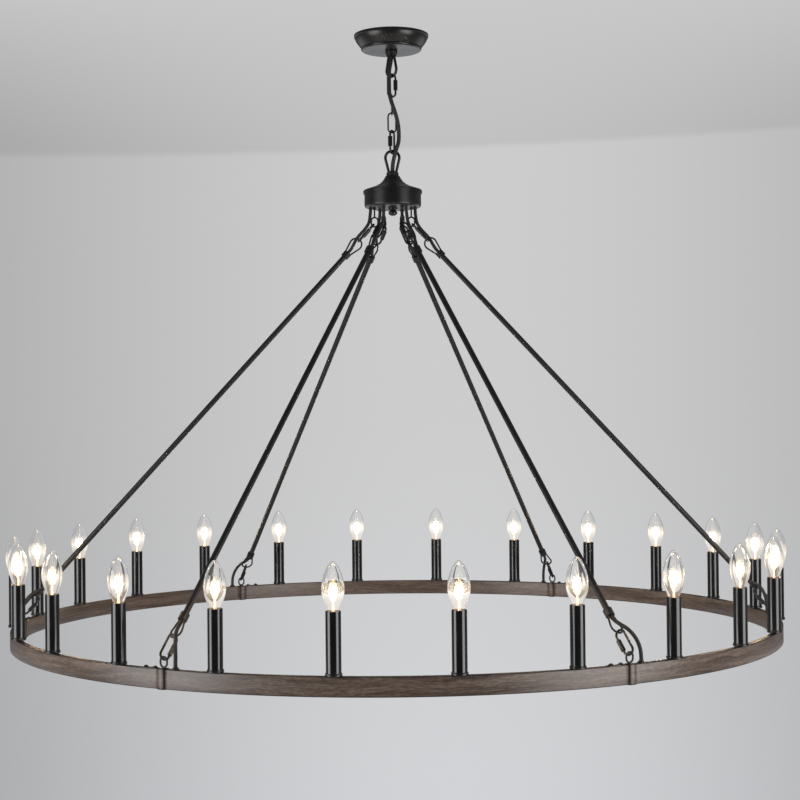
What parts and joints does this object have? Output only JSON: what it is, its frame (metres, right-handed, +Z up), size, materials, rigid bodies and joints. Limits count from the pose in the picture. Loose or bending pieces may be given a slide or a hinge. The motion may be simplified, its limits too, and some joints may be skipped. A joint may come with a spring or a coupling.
{
  "type": "wagon wheel chandelier",
  "caption": "Round wood-grain metal ring with candle lights, hung by straight rods from a small hub, which hangs by a short chain from a ceiling canopy.",
  "frame": {"origin": "centre of the crossbar's ceiling face, on the fixture's axis and in the ceiling's plane", "axes": "+Z up along the fixture's axis, +X along the crossbar and towards one joint of the wheel, -Y towards the viewer of the picture"},
  "size_m": [1.5216, 1.5216, 1.2048],
  "materials": {
    "black_metal": "satin near-black paint",
    "wood_print": "steel printed with weathered wood grain, matt",
    "galvanised": "galvanised steel, dull",
    "cord": "black woven jacket",
    "black_plastic": "black, matt",
    "connector": "orange, matt",
    "lamp_holder": "off-white moulding",
    "bulb_base": "plain, slightly dull",
    "bulb_glass": "clear",
    "filament": "clear stem and glowing sticks"
  },
  "bodies": {
    "ceiling": {"canopy": "black_metal", "crossbar": "galvanised", "crossbar_nut": "galvanised", "canopy_nipple": "galvanised", "canopy_collar": "black_metal", "canopy_loop": "black_metal", "power_cord_1": "cord"},
    "top_link": {"top_quick_link": "black_metal", "power_cord_2": "cord"},
    "upper_link": {"upper_chain_link": "black_metal", "power_cord_3": "cord"},
    "lower_link": {"lower_chain_link": "black_metal", "power_cord_4": "cord"},
    "bottom_link": {"bottom_quick_link": "black_metal", "power_cord_5": "cord"},
    "hub": {"hub_loop": "black_metal", "hub_collar": "black_metal", "hub_lid": "black_metal", "hub_drum": "black_metal", "hub_stem": "galvanised", "hub_finial": "black_metal", "hub_hooks": "black_metal", "hub_hook_nuts": "galvanised", "hub_bushings": "black_plastic", "wire_connectors": "connector"},
    "wheel": {"ring_segments": "wood_print", "joint_bands": "wood_print", "joint_eyes": "black_metal", "joint_screws": "black_metal", "cable_glands": "black_metal", "candle_cups": "black_metal", "candle_sleeves": "black_metal", "lamp_holders": "lamp_holder", "bulb_bases": "bulb_base", "bulb_glasses": "bulb_glass", "bulb_filaments": "filament"},
    "rod_1": {"rod_1_tube": "black_metal", "rod_1_bails": "black_metal", "rod_1_quick_links": "black_metal", "rod_1_cord": "cord"},
    "rod_2": {"rod_2_tube": "black_metal", "rod_2_bails": "black_metal", "rod_2_quick_links": "black_metal", "rod_2_cord": "cord"},
    "rod_3": {"rod_3_tube": "black_metal", "rod_3_bails": "black_metal", "rod_3_quick_links": "black_metal", "rod_3_cord": "cord"},
    "rod_4": {"rod_4_tube": "black_metal", "rod_4_bails": "black_metal", "rod_4_quick_links": "black_metal", "rod_4_cord": "cord"},
    "rod_5": {"rod_5_tube": "black_metal", "rod_5_bails": "black_metal", "rod_5_quick_links": "black_metal", "rod_5_cord": "cord"},
    "rod_6": {"rod_6_tube": "black_metal", "rod_6_bails": "black_metal", "rod_6_quick_links": "black_metal", "rod_6_cord": "cord"}
  },
  "joints": [
    {"name": "top_link_swing", "type": "hinge", "parent": "ceiling", "child": "top_link", "pos_m": [0, 0, -0.0835], "axis": [0.7071, -0.7071, 0], "range_deg": [-20, 20], "deforming": ["power_cord_1"]},
    {"name": "upper_link_swing", "type": "hinge", "parent": "top_link", "child": "upper_link", "pos_m": [0, 0, -0.12445], "axis": [0.9659, 0.2588, 0], "range_deg": [-20, 20], "deforming": ["power_cord_2"]},
    {"name": "lower_link_swing", "type": "hinge", "parent": "upper_link", "child": "lower_link", "pos_m": [0, 0, -0.16035], "axis": [0, 1, 0], "range_deg": [-20, 20], "deforming": ["power_cord_3"]},
    {"name": "bottom_link_swing", "type": "hinge", "parent": "lower_link", "child": "bottom_link", "pos_m": [0, 0, -0.19665], "axis": [0.9962, 0.0872, 0], "range_deg": [-20, 20], "deforming": ["power_cord_4"]},
    {"name": "hub_swing", "type": "hinge", "parent": "bottom_link", "child": "hub", "pos_m": [0, 0, -0.23875], "axis": [0.5, 0.866, 0], "range_deg": [-20, 20], "deforming": ["power_cord_5"]},
    {"name": "wheel_twist", "type": "hinge", "parent": "hub", "child": "wheel", "pos_m": [0, 0, -1.17185], "axis": [0, 0, 1], "range_deg": [-5, 5], "stiffness_Nm_per_rad": 3.1},
    {"name": "rod_1_turn", "type": "hinge", "parent": "hub", "child": "rod_1", "pos_m": [0.04147, 0, -0.3845], "axis": [0, 0, 1], "range_deg": [-5.5, 5.5], "deforming": ["rod_1_cord"]},
    {"name": "rod_2_turn", "type": "hinge", "parent": "hub", "child": "rod_2", "pos_m": [0.02074, 0.03592, -0.3845], "axis": [0, 0, 1], "range_deg": [-5.5, 5.5], "deforming": ["rod_2_cord"]},
    {"name": "rod_3_turn", "type": "hinge", "parent": "hub", "child": "rod_3", "pos_m": [-0.02074, 0.03592, -0.3845], "axis": [0, 0, 1], "range_deg": [-5.5, 5.5], "deforming": ["rod_3_cord"]},
    {"name": "rod_4_turn", "type": "hinge", "parent": "hub", "child": "rod_4", "pos_m": [-0.04147, 0, -0.3845], "axis": [0, 0, 1], "range_deg": [-5.5, 5.5], "deforming": ["rod_4_cord"]},
    {"name": "rod_5_turn", "type": "hinge", "parent": "hub", "child": "rod_5", "pos_m": [-0.02074, -0.03592, -0.3845], "axis": [0, 0, 1], "range_deg": [-5.5, 5.5], "deforming": ["rod_5_cord"]},
    {"name": "rod_6_turn", "type": "hinge", "parent": "hub", "child": "rod_6", "pos_m": [0.02074, -0.03592, -0.3845], "axis": [0, 0, 1], "range_deg": [-5.5, 5.5], "deforming": ["rod_6_cord"]}
  ],
  "couplings": [
    {"joint": "rod_1_turn", "follows": "wheel_twist", "ratio": 1.0586},
    {"joint": "rod_2_turn", "follows": "wheel_twist", "ratio": 1.0586},
    {"joint": "rod_3_turn", "follows": "wheel_twist", "ratio": 1.0586},
    {"joint": "rod_4_turn", "follows": "wheel_twist", "ratio": 1.0586},
    {"joint": "rod_5_turn", "follows": "wheel_twist", "ratio": 1.0586},
    {"joint": "rod_6_turn", "follows": "wheel_twist", "ratio": 1.0586}
  ]
}
